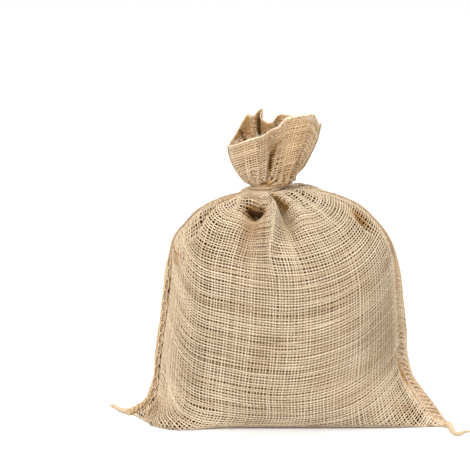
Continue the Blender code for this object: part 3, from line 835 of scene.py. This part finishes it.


# Painted shade for places that lie in shadow: 0.5 gives the warm shade of a hollow, 1 the dark of a crease.
Shade = namedtuple("Shade", "panel fromShare fromDrop toShare toDrop spread depth")
bodyShades = rowsOf(Shade, {
    "front": [
        (-0.41, 21, -0.24, 22, 3.3, 0.97),  # the pocket
        (-0.46, 7, -0.24, 12, 4.5, 0.22),  # the underside of the roll above it
        (-0.31, 30, -0.27, 46, 8, 0.16),
        (0.08, 3, 0.1, 22, 1.2, 0.8),  # the wedge beside the standing pleat
        (-0.19, 26, -0.15, 60, 1.4, 0.35),  # the pleat's sharp left edge
        (-0.92, 14, -0.76, 40, 5, 0.35),  # the valley along the left shoulder
        (0.85, 38, 0.85, 47, 5, 0.4),  # the dent in the right shoulder
        (-0.99, 80, -0.87, 84, 1.3, 0.7),  # creases at the top of the left seam
        (-0.97, 88, -0.86, 92, 1.2, 0.5),
        (0.985, 186, 0.99, 196, 1.4, 0.6),  # the fold line that runs to the right ear
        (0.99, 196, 1.0, 204, 1.8, 0.95), (1.0, 208, 1.0, 213, 1.4, 0.45), (0.8, 217, 0.87, 220, 5, 0.18),
        (-0.975, 227, -0.86, 239, 1.5, 0.4),  # the crease of the left ear
        (-0.93, 226, -0.82, 232, 7, 0.15),
    ],
})


# How much painted shade each point of a panel gets; down is in the shades' own measure.
def shadeOf(shades, grid, down):
    across = acrossOf(grid)
    halfWidth = across[:, -flangeColumns - 1, None]
    depth = np.zeros_like(across)
    for shade in shades:
        spanX = (shade.toShare - shade.fromShare) * halfWidth
        spanY = shade.toDrop - shade.fromDrop
        x = across - shade.fromShare * halfWidth
        y = down - shade.fromDrop
        part = np.clip((x * spanX + y * spanY) / (spanX**2 + spanY**2), 0, 1)
        away = (x - part * spanX) ** 2 + (y - part * spanY) ** 2
        depth = np.maximum(depth, shade.depth * np.exp(-away / shade.spread**2))
    return depth


def panelNamed(things, side):
    return [thing for thing in things if thing.panel == side]


# How far the weft yarns sag below level at each share of the panel's width, in millimetres.
weftSag = [
    (-1, 0), (-0.2, 0), (-0.07, 0.6), (0.054, 2.2), (0.25, 5.6), (0.41, 8.5), (0.52, 9.6), (0.62, 8.9),
    (0.735, 5.8), (0.9, -1.6), (1, -9),
]

faceShades = {}
faces = {side: panelGrid(body, side) for side in panels}
levels = {side: panelGrid(plain, side) for side in panels}
for side, otherSide in zip(panels, panels[::-1]):
    grid = withUnderside(faces, side, otherSide)
    smooth = withUnderside(levels, side, otherSide)
    drop = np.pad(dropsOf(plain), (bodyShape["baseRows"], 0), mode="edge")
    # Painted shade: warmer and darker where the folds sink in, and where the body's shades lie.
    hollows = hessian["foldShade"] * smoothStep(-panelGrid(offset[..., None], side)[..., 0] / hessian["deepFold"])
    hollows = hollows + shadeOf(panelNamed(bodyShades, side), levels[side], dropsOf(plain)[:, None])
    faceShades[side] = np.clip(hollows, 0, 1)
    hollows = np.pad(faceShades[side], ((bodyShape["baseRows"], 0), (0, 0)))
    warpAt = warpPlaces(grid, drop, panelNamed(bodyTucks, side), hessian["halfWidth"])
    weftAt = evened(weftPlaces(grid, smooth), hessian["slantReach"])
    weftAt = weftAt + np.interp(gridShare, *zip(*through(weftSag, 6)))
    firstRow = math.floor(weftAt[0].min() / weft["pitch"])
    lastRow = (weftAt[-1].max() + 1.5 * hessian["tieCrowd"]) / weft["pitch"]
    weftRows = np.arange(firstRow + 0.5, lastRow) * weft["pitch"]
    weftRows = weftRows + hessian["unevenness"] * weft["pitch"] * dice.normal(size=len(weftRows))
    rows, cols = crossings(warpAt, weftAt, hessian["halfWidth"], weftRows, hessian["tieCrowd"])
    shareAt = np.interp(cols, np.arange(len(gridShare)), gridShare)
    slimness = hessian["rightSlimness"] * smoothStep((shareAt - hessian["slimFrom"]) / hessian["slimFade"])
    closed = hessian["seamFullness"] * smoothStep((np.abs(shareAt) - hessian["seamFrom"]) / 0.025)
    mesh = weave(side + "Cloth", grid, panelNormals(grid, side), rows, cols, hollows, 0, 1 - slimness + closed)
    cloth = addPiece(side + "Cloth", mesh, yarnFinish, "hessian")
    print(side, "woven", rows.shape, len(cloth.data.polygons))

filling = {
    "under": 2.25,  # from the outside of the cloth
    "lowest": 2.2,
    "firstHeight": 2.0,
    "lastHeight": 205.0,
    # Height, and how many grid columns at each seam hold only cloth.
    "seamGaps": [(0, 0.8), (140, 0.8), (160, 2.6), (205, 2.2)],
    "coreGap": 6,
    "footInset": 3.5,
    "coreRows": 38,  # of the mouth's rows, how high the bunched cloth in it reaches
    "coreHollow": 0.6,
    "coreUnder": 2.6,
    "coreLevel": 7,
    "coreFoot": 6.0,
    # The filling's colours are the contents' brown, kept dark as painted shade seen through the weave's holes; the
    # bunched cloth's golden brown is painted shade of the mouth's inside.
    "shades": [(0.23, 0.12, 0.03), (0.32, 0.18, 0.05), (0.42, 0.25, 0.085)],
    "coreShades": [(0.36, 0.23, 0.10), (0.46, 0.31, 0.15), (0.56, 0.39, 0.2)],
}


def fillingMesh():
    step = 2
    height = plain[:, 0, 2]
    tall = np.flatnonzero((height >= filling["firstHeight"]) & (height <= filling["lastHeight"]))[::step]
    gaps = np.interp(height[tall], *zip(*filling["seamGaps"]))[:, None]
    cols = gaps + (columns - 1 - 2 * gaps) * np.linspace(0, 1, columns // step)
    rows = np.broadcast_to(tall[:, None] * 1.0, cols.shape)
    front, back = (readAt(panelOf(body, side), rows, cols) for side in panels)
    gap = np.linalg.norm(front - back, axis=2)
    depth = np.minimum(filling["under"], gap * 0.42)[..., None]
    ring = np.concatenate([front, back[:, ::-1]], axis=1)
    depths = np.concatenate([depth, depth[:, ::-1]], axis=1)
    ring = ring - outwardOf(ring) * depths
    ring[..., 2] = np.maximum(ring[..., 2], filling["lowest"])
    foot = ring[:1].copy()
    middle = foot.mean(axis=1, keepdims=True)
    foot -= unit(foot - middle) * filling["footInset"]
    foot[..., 2] = filling["lowest"]
    rings = np.concatenate([foot, ring])
    return meshOf("filling", rings, *tubeFaces(1, *rings.shape[:2]))


fillingShade = yarnMaterial("fillingShade", filling["shades"], gloss=0)
fillingPiece = addPiece("filling", fillingMesh(), fillingShade, "hessian", "sack")


# Depths levelled to the innermost of their neighbours, to stay behind every fold.
def pushedIn(depths, direction):
    level = depths.copy()
    for shift in range(1, filling["coreLevel"] + 1):
        for moved in (np.roll(depths, shift, axis=1), np.roll(depths, -shift, axis=1)):
            level = np.maximum(level * direction, moved * direction) * direction
    return level


# The cloth bunched inside the mouth's lower part, a closed sheet whose golden brown is painted shade for the
# mouth's inside.
def coreMesh():
    keep = np.arange(filling["coreGap"], columns - filling["coreGap"], 2)
    rows = np.arange(0, filling["coreRows"], 2)
    front, back = (panelOf(mouth, side)[rows][:, keep] for side in panels)
    front[..., 1] = pushedIn(front[..., 1], 1)
    back[..., 1] = pushedIn(back[..., 1], -1)
    gap = np.linalg.norm(back - front, axis=2, keepdims=True)
    inset = np.minimum(filling["coreUnder"], gap * 0.4) / np.maximum(gap, 0.01)
    shrink = np.linspace(0, filling["coreHollow"], len(rows))[:, None, None] ** 2
    inset = (back - front) * partWay(inset, 0.5, shrink)
    ring = np.concatenate([front + inset, (back - inset)[:, ::-1]], axis=1)
    foot = ring[:1] - np.array([0, 0, filling["coreFoot"]])
    rings = np.concatenate([foot, ring])
    return meshOf("gatheredCore", rings, *tubeFaces(1, *rings.shape[:2]))


addPiece("gatheredCore", coreMesh(), yarnMaterial("coreShade", filling["coreShades"], gloss=0), "hessian")
print("filling and core made")

lipTucks = [
    (share, share, 60, takes) for share, takes in (
        (-0.86, 0.12), (-0.6, 0.1), (-0.34, 0.1), (-0.09, 0.26), (0.14, 0.1), (0.4, 0.1), (0.66, 0.1), (0.88, 0.12),
    )
]
mouthTucks = rowsOf(Tuck, {"front": lipTucks, "back": lipTucks})
# Painted shade in the mouth, in the same measure; there down is the height.
mouthShades = rowsOf(Shade, {
    "front": [
        (0.0, 256, -0.045, 247, 0.7, 0.6),  # the valley between the two lobes
        (-0.045, 247, -0.07, 238, 0.7, 0.8), (-0.07, 238, -0.065, 229, 0.7, 0.8),
        (-0.065, 229, -0.02, 218, 0.7, 0.7),
        (0.45, 225, 0.45, 265, 16, 0.13),  # painted warm shade over the right lobe
        (0.03, 256, 0.02, 240, 3, 0.12), (-0.3, 216, 0.0, 216.5, 1.2, 0.8),
    ],
    "back": [
        (-0.8, 271, -0.62, 250, 1.8, 0.6),
    ],
})

# The mouth above the tie: its weft rows follow the edge, so they are counted down from there.
lipShades = {}
for side in panels:
    grid = panelGrid(mouth, side)[::-1]
    drop = np.linspace(60, 0, len(grid))
    widest = stepsOf(grid[:, flangeColumns:-flangeColumns], 1).sum(axis=1).max()
    warpAt = warpPlaces(grid, drop, panelNamed(mouthTucks, side), widest / 2, 1.5)
    weftAt = weftPlaces(grid)
    pitch = mouthShape["weftPitch"]
    lowerRows = np.arange(mouthShape["selvage"][-1] + pitch, weftAt.max() + 1.5 * mouthShape["crowd"], pitch)
    weftRows = np.concatenate([mouthShape["selvage"], lowerRows])
    closeness = mouthShape["closeness"][side]
    rows, cols = crossings(warpAt, weftAt, widest / 2, weftRows, mouthShape["crowd"], closeness)
    # Painted shade: a little over the whole mouth, more where its shades lie, and less near the seams.
    hollows = mouthShape["shade"] + shadeOf(panelNamed(mouthShades, side), grid, grid[..., 2])
    normals = -panelNormals(grid, side)
    nearSeam = smoothStep((np.abs(gridShare) - mouthShape["seamLightFrom"]) / 0.1)
    hollows = np.minimum(hollows - mouthShape["seamLight"] * nearSeam, 1)
    lipShades[side] = hollows[::-1]
    fullness = mouthShape["fullness"][side]
    mesh = weave(side + "Mouth", grid, normals, rows, cols, hollows, 2, fullness, mouthShape["sideShade"][side])
    cloth = addPiece(side + "Mouth", mesh, yarnFinish, "hessian")
    print(side, "mouth woven", rows.shape, len(cloth.data.polygons))

# Sewing thread and twine.
thread = {
    "radius": 0.64,
    "tone": 0.62,
    "shade": 0.2,
    "earWidening": 0.6,  # how much wider the stitches are over the left ear
    "earReach": 20.0,
    "chainPitch": 10.5,  # of the chain stitch up the left seam
    "chainWidth": 1.5,  # half, in grid columns of the seam allowance
    "chainMiddle": 2.0,
    "chainSpan": (3, 158),  # up the seam
    "overlap": 1.3,
    "strandShare": 0.55,  # of a thread end's radius
    "crossPitch": 5.0,  # of the overcasting on the right seam
    "crossSpan": (16, 158),
    "frontHoles": (48, 108),  # where its needle holes show on the front
    "crossRadius": 0.45,
    "crossTone": 0.72,
    "endLay": 5.5,
    "endShade": 0.12,
    "lift": 0.35,
    "needleHole": (1.9, 0.85),  # half its length and half its width
    "crossHole": (1.1, 0.45),
}
twine = {
    "radius": 1.25,
    "lay": 6.0,
    "tone": 0.42,
    "shade": 0.2,
    "strandShare": 0.58,
    "smoothing": 30,
    "points": 260,
    "sink": 0.5,  # of its middle, outside the pinched cloth
    "hiddenSink": -3.0,  # where the right lobe hangs over it
}


# Two strands twisted together along a path.
def twisted(path, radii, lay, start=0.0):
    along = unit(np.gradient(path, axis=0))
    sideways = unit(np.cross(along, np.array([0, 0, 1.0])))
    upward = np.cross(sideways, along)
    strands = []
    for ply in (0, 1):
        angle = (2 * math.pi * lengthsAlong(path) / lay + math.pi * ply + start)[:, None]
        strands.append(path + (sideways * np.cos(angle) + upward * np.sin(angle)) * radii[:, None] * 0.5)
    return np.stack(strands)


# Points on a seam allowance: up and lift in millimetres along the seam and off the cloth, inward in grid
# columns from the edge.
def onFlange(side, left, up, inward, lift):
    grid = faces[side]
    normals = panelNormals(grid, side)
    seam = grid[:, flangeColumns] if left else grid[:, -1 - flangeColumns]
    rows = np.interp(up, lengthsAlong(seam), np.arange(len(grid)))
    cols = inward if left else grid.shape[1] - 1 - inward
    return readAt(grid, rows, cols) + unit(readAt(normals, rows, cols)) * lift[..., None]


def threadPiece(name, paths, radii, tones, hollows, slot, *stoodFor, sides=6):
    outward = np.broadcast_to([0.0, -1.0, 0.0], paths.shape)
    values = [np.broadcast_to(value, paths.shape[:2]) for value in (radii, radii, tones, hollows)]
    return addPiece(name, yarnMesh(name, yarnSet(paths, outward, *values, sides)), yarnFinish, slot, *stoodFor)


# Chain stitches: each loop runs from one needle hole to the next and is caught by the one above.
def chainStitches(name, side, left, width):
    starts = np.arange(*thread["chainSpan"], thread["chainPitch"])
    turn = np.linspace(0.02, 0.98, 22) * 2 * math.pi
    size = 1 + nudge(len(starts), 0.16)
    up = starts[:, None] + (1 - np.cos(turn)) / 2 * (thread["chainPitch"] + thread["overlap"])
    size = size * (1 + thread["earWidening"] * np.exp(-((starts[:, None] / thread["earReach"]) ** 2)))
    inward = thread["chainMiddle"] + nudge(len(starts), 0.25) + width * size * np.sin(turn)
    lift = thread["lift"] + 0.35 * np.sin(turn / 2) ** 2 + 0.15 * wander(len(starts), len(turn), 5)
    paths = onFlange(side, left, up, np.clip(inward, 0.1, 4.2), lift)
    radii = thread["radius"] * (1 + 0.12 * wander(len(starts), len(turn), 4))
    tones = thread["tone"] + 0.1 * wander(len(starts), len(turn), 4)
    threadPiece(name, paths, radii, tones, thread["shade"], "seam_thread")
    return starts


# Needle holes: short dark slots between the stitches, painted shade for the shadow in each hole.
def needleHoles(name, side, left, starts, inward, tilt, size, depth):
    length, width = size
    along = np.linspace(-1, 1, 7)
    middles = starts[:, None] + nudge(len(starts), 0.5)
    up = middles + along * length * (1 + nudge(len(starts), 0.3))
    across = inward + nudge(len(starts), 0.2) + along * tilt
    paths = onFlange(side, left, up, np.clip(across, 0.2, 4.6), np.full(up.shape, 0.3))
    radii = width * np.sqrt(np.maximum(1 - along**2, 0.03)) * np.ones((len(starts), 1))
    threadPiece(name, paths, radii, 0.3, depth, "seam_thread")


chainStarts = chainStitches("leftSeamChain", "front", True, thread["chainWidth"])
chainStitches("leftSeamBack", "back", True, 0.3)
needleHoles("leftNeedleHoles", "front", True, chainStarts[1:], 3.5, 0.25, thread["needleHole"], 0.95)
crossStarts = np.arange(*thread["crossSpan"], thread["crossPitch"])
holesFrom, holesTo = thread["frontHoles"]
frontStarts = crossStarts[(crossStarts > holesFrom) & (crossStarts < holesTo)]
for side, seen in zip(panels, (frontStarts, crossStarts)):
    needleHoles(side + "RightHoles", side, False, seen, 2.3, 0.6, thread["crossHole"], 0.62)


# Slanting stitches over the edge of the right seam, front and back.
def overcast(name, side):
    count = len(crossStarts)
    along = np.linspace(0, 1, 9)
    up = crossStarts[:, None] + 2.2 * along + nudge(count, 0.3)
    inward = 0.25 + 3.1 * along * (1 + nudge(count, 0.08))
    lift = 0.15 + 0.45 * np.sin(along * math.pi) + np.zeros((count, 1))
    paths = onFlange(side, False, up, inward, lift)
    tones = thread["crossTone"] + 0.08 * wander(count, len(along), 4)
    threadPiece(name, paths, thread["crossRadius"], tones, 0.1, "seam_thread")


overcast("rightSeamFront", "front")
overcast("rightSeamBack", "back")

# The thick bunch of thread ends sewn down round the edge of the left ear.
earBunch = {
    "up": (0.5, 34.0),  # from the ear's foot, along the seam
    "radii": (3.2, 1.2),
    "inward": 0.7,
    "lift": 0.7,
    "lay": 9.0,
    "tone": 0.5,
    "shade": 0.22,
    "points": 60,
}
bunchUp, bunchSize = (np.linspace(*earBunch[key], earBunch["points"]) for key in ("up", "radii"))
bunchSize = bunchSize * (1 + 0.18 * wander(1, earBunch["points"], 7)[0])
bunchPlace = (np.full_like(bunchUp, earBunch[key]) for key in ("inward", "lift"))
bunchPath = onFlange("front", True, bunchUp, *bunchPlace)
bunch = twisted(bunchPath, bunchSize, earBunch["lay"])
bunchStrand = bunchSize * thread["strandShare"]
threadPiece("leftEarBunch", bunch, bunchStrand, earBunch["tone"], earBunch["shade"], "seam_thread")
print("seams sewn")

# The twine follows the neck's own ring, smoothed, and starts at the back.
neckRow = mouthShape["landRows"] // 2
neckLoop = np.concatenate([panelOf(mouth, "front")[neckRow], panelOf(mouth, "back")[neckRow, ::-1]])
neckLoop = np.roll(neckLoop, -columns - columns // 2, axis=0)
for _ in range(twine["smoothing"]):
    neckLoop = (np.roll(neckLoop, 1, axis=0) + neckLoop * 2 + np.roll(neckLoop, -1, axis=0)) / 4
neckLoop = evenly(np.vstack([neckLoop, neckLoop[:2]]), twine["points"])
outOfNeck = neckLoop - np.array([neck["x"], 0, 0])
outOfNeck[:, 2] = 0
outOfNeck = unit(outOfNeck)
covered = smoothStep((neckLoop[:, 0] - neck["x"] - 1) / 5) * smoothStep((3 - neckLoop[:, 1]) / 5)
sink = partWay(twine["sink"], twine["hiddenSink"], covered)
tiePath = neckLoop + outOfNeck * sink[:, None]
tiePaths = twisted(tiePath, np.full(len(tiePath), twine["radius"]), twine["lay"])
strandRadius = twine["radius"] * twine["strandShare"]
threadPiece("neckTwine", tiePaths, strandRadius, twine["tone"], twine["shade"], "twine", "neck_tie")

# The sewing thread's two free ends on the floor: points along each, and its radius at both ends.
threadEnds = {
    "left": ([(-140.5, -16.5), (-145.1, -15), (-149.5, -11), (-153.5, -5), (-156.5, 1), (-160.5, 5.6)], 2.5, 1.5),
    "right": ([
        (147.5, -54), (149.3, -58), (150.2, -68), (152, -76), (155, -80), (158.5, -76), (162.5, -70),
        (168.4, -70.3),
    ], 2.9, 1.1),
}
for name, (points, thick, thin) in threadEnds.items():
    flat = through(points, 12)
    radii = partWay(thin, thick, np.linspace(1, 0, len(flat)) ** 1.4)
    radii = radii * (1 + 0.1 * wander(1, len(flat), 6)[0])
    path = np.column_stack([flat, radii + 0.15])
    strands = twisted(path, radii, thread["endLay"])
    strandRadii = radii * thread["strandShare"]
    tail = threadPiece(
        name + "ThreadEnd", strands, strandRadii, thread["tone"], thread["endShade"], "seam_thread",
        "thread_end_" + name,
    )
print("twine and thread ends made")

# Loose fibres that stand off the cloth.
fuzz = {
    "bodyHairs": 900,
    "mouthHairs": 260,
    "rimHairs": 170,
    "length": (2.5, 7.0),
    "radius": 0.11,
    "tone": 0.8,
    "deepest": 0.35,  # no fibres show in deeper shade
}


# Hairs that spring from a panel between two of its rows and lean out of it, or up where lean says so.
def hairPaths(grid, side, shades, count, rowLow, rowHigh, rise=0.7, lean=(1, 0)):
    rows = dice.uniform(rowLow, rowHigh, size=count)
    cols = dice.uniform(0, grid.shape[1] - 1, size=count)
    inOpen = readAt(shades, rows, cols) < fuzz["deepest"]
    rows, cols = rows[inOpen], cols[inOpen]
    outward = unit(readAt(panelNormals(grid, side), rows, cols))
    roots = readAt(grid, rows, cols) - outward * 0.8
    outward = outward * lean[0] + np.array([0, 0, lean[1]])
    steps = np.linspace(0, 1, 6)[None, :, None]
    lengths = dice.uniform(*fuzz["length"], size=(len(roots), 1, 1))
    heading = unit(outward * rise + 0.7 * dice.normal(size=(len(roots), 3)))[:, None]
    bend = dice.normal(size=(len(roots), 1, 3)) * 0.45
    paths = roots[:, None] + (heading * steps + bend * steps**2) * lengths
    paths[..., 2] = np.maximum(paths[..., 2], 0.3)
    return paths


hairs = []
for side in panels:
    face = faces[side]
    lip = panelGrid(mouth, side)
    top = len(lip)
    hairs += [
        hairPaths(face, side, faceShades[side], fuzz["bodyHairs"] // 2, 2, len(face) - 6),
        hairPaths(lip, side, lipShades[side], fuzz["mouthHairs"] // 2, 8, top - 1),
        hairPaths(lip, side, 0 * lip[..., 0], fuzz["rimHairs"] // 2, top - 2.5, top - 1.5, 0.9, (0.2, 1.0)),
    ]
hairs = np.concatenate(hairs)
thinning = fuzz["radius"] * np.linspace(1.2, 0.6, hairs.shape[1]) * dice.uniform(0.7, 1.5, size=(len(hairs), 1))
threadPiece("looseFibres", hairs, thinning, fuzz["tone"], 0.0, "hessian", sides=3)
print("fibres made", len(hairs))

# Floor, light and camera.
stage = {
    "pixel": 0.00091,  # metres of the object across one pixel
    "imageSize": 470,
    "axisX": 285,  # pixel column of the object's origin
    "floorY": 411,  # pixel row of the object's origin
    "elevation": math.radians(15),
    "distance": 3.0,
    "sensor": 36.0,
    "worldLight": 0.9,
    "lightHeight": 0.12,  # the place above the origin that the lights face
}


def addStage():
    bpy.ops.object.select_all(action="DESELECT")
    bpy.ops.mesh.primitive_plane_add(size=12, location=(0, 3.2, 0))
    floor = bpy.context.active_object
    floor.name = "floor"
    floor.data.materials.append(newMaterial("paleFloor", {"Base Color": (0.9, 0.9, 0.9, 1), "Roughness": 0.8}))


def addLight(name, place, size, power):
    light = bpy.data.lights.new(name, "AREA")
    light.shape = "DISK"
    light.size = size
    light.energy = power
    lamp = addObject(name, light)
    lamp.location = place
    heading = Vector((0, 0, stage["lightHeight"])) - lamp.location
    lamp.rotation_euler = heading.to_track_quat("-Z", "Y").to_euler()


def addCamera():
    centre = stage["imageSize"] / 2
    up = math.cos(stage["elevation"])
    target = np.array([centre - stage["axisX"], 0, (stage["floorY"] - centre) / up]) * stage["pixel"]
    away = np.array([0, -up, math.sin(stage["elevation"])]) * stage["distance"]
    view = bpy.data.cameras.new("camera")
    view.sensor_width = stage["sensor"]
    view.lens = stage["sensor"] * stage["distance"] / (stage["imageSize"] * stage["pixel"])
    camera = addObject("camera", view)
    camera.location = target + away
    camera.rotation_euler = (math.pi / 2 - stage["elevation"], 0, 0)
    bpy.context.scene.camera = camera


addStage()
addCamera()
addLight("keyLight", (-0.9, -1.3, 1.5), 1.0, 26)
addLight("fillLight", (1.4, -1.2, 0.9), 1.4, 9)
addLight("topLight", (0.1, 0.5, 1.7), 1.4, 14)
world = bpy.data.worlds.new("studio")
world.use_nodes = True
setInputs(world.node_tree.nodes["Background"], {"Color": (1, 1, 1, 1), "Strength": stage["worldLight"]})
bpy.context.scene.world = world
bpy.context.scene.view_settings.view_transform = "Standard"
